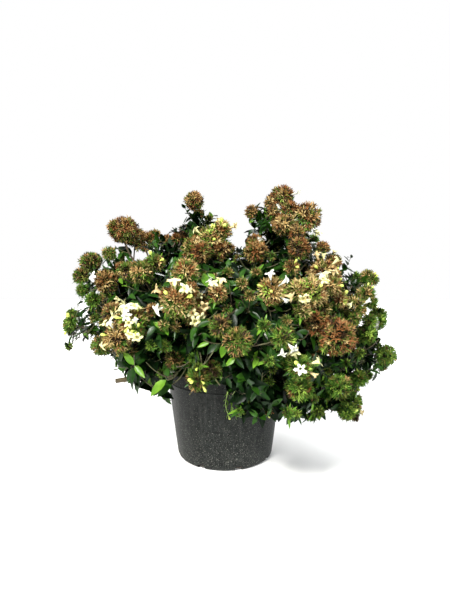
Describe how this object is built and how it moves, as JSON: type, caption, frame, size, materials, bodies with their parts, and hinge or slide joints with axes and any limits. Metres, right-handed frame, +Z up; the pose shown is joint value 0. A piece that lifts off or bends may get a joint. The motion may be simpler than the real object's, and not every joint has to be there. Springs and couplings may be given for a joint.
{
  "type": "potted abelia shrub in flower",
  "caption": "Low, wide evergreen shrub covered in round flower heads, with arching canes over the rim of a tapered nursery pot; it stands on the pot's flat underside.",
  "frame": {"origin": "centre of the pot's flat underside, on the ground", "axes": "+Z up through the pot; -Y towards the front of the plant, +X to its right as seen from the front"},
  "size_m": [0.6361, 0.5804, 0.533],
  "materials": {
    "pot_plastic": "black recycled plastic, scuffed and dusted with dried splashes",
    "potting_mix": "rough, moist bark and peat",
    "bark": "thin, grey-brown, finely fissured",
    "foliage": "glossy dark green leaves, with russet and tan flower heads and white flowers"
  },
  "bodies": {
    "root": {"cane_back_left": "bark", "cane_back_left_up": "bark", "cane_back_mid_right": "bark", "cane_back_right": "bark", "cane_back_right_up": "bark", "cane_back_top": "bark", "cane_big_left": "bark", "cane_front_left": "bark", "cane_front_right_up": "bark", "cane_gold_right": "bark", "cane_left": "bark", "cane_left_front": "bark", "cane_left_low": "bark", "cane_left_low_front": "bark", "cane_right_front": "bark", "cane_right_low": "bark", "cane_right_low_front": "bark", "cane_right_shoulder": "bark", "cane_right_tip": "bark", "cane_right_up": "bark", "cane_top_front": "bark", "cane_top_left": "bark", "cane_top_right": "bark", "cane_upper_left": "bark", "mass_back_left": "foliage", "mass_back_left_up": "foliage", "mass_back_low": "foliage", "mass_back_mid": "foliage", "mass_back_mid_right": "foliage", "mass_back_right": "foliage", "mass_back_right_up": "foliage", "mass_back_top": "foliage", "mass_big_left": "foliage", "mass_bottom_left": "foliage", "mass_front_left": "foliage", "mass_front_low": "foliage", "mass_front_mid": "foliage", "mass_front_right_up": "foliage", "mass_gold_right": "foliage", "mass_left": "foliage", "mass_left_front": "foliage", "mass_left_low": "foliage", "mass_left_low_front": "foliage", "mass_right_front": "foliage", "mass_right_low": "foliage", "mass_right_low_front": "foliage", "mass_right_shoulder": "foliage", "mass_right_tip": "foliage", "mass_right_up": "foliage", "mass_top_front": "foliage", "mass_top_left": "foliage", "mass_top_right": "foliage", "mass_upper_left": "foliage", "pot": "pot_plastic", "potting_mix": "potting_mix", "woody_crown": "bark"}
  },
  "joints": []
}
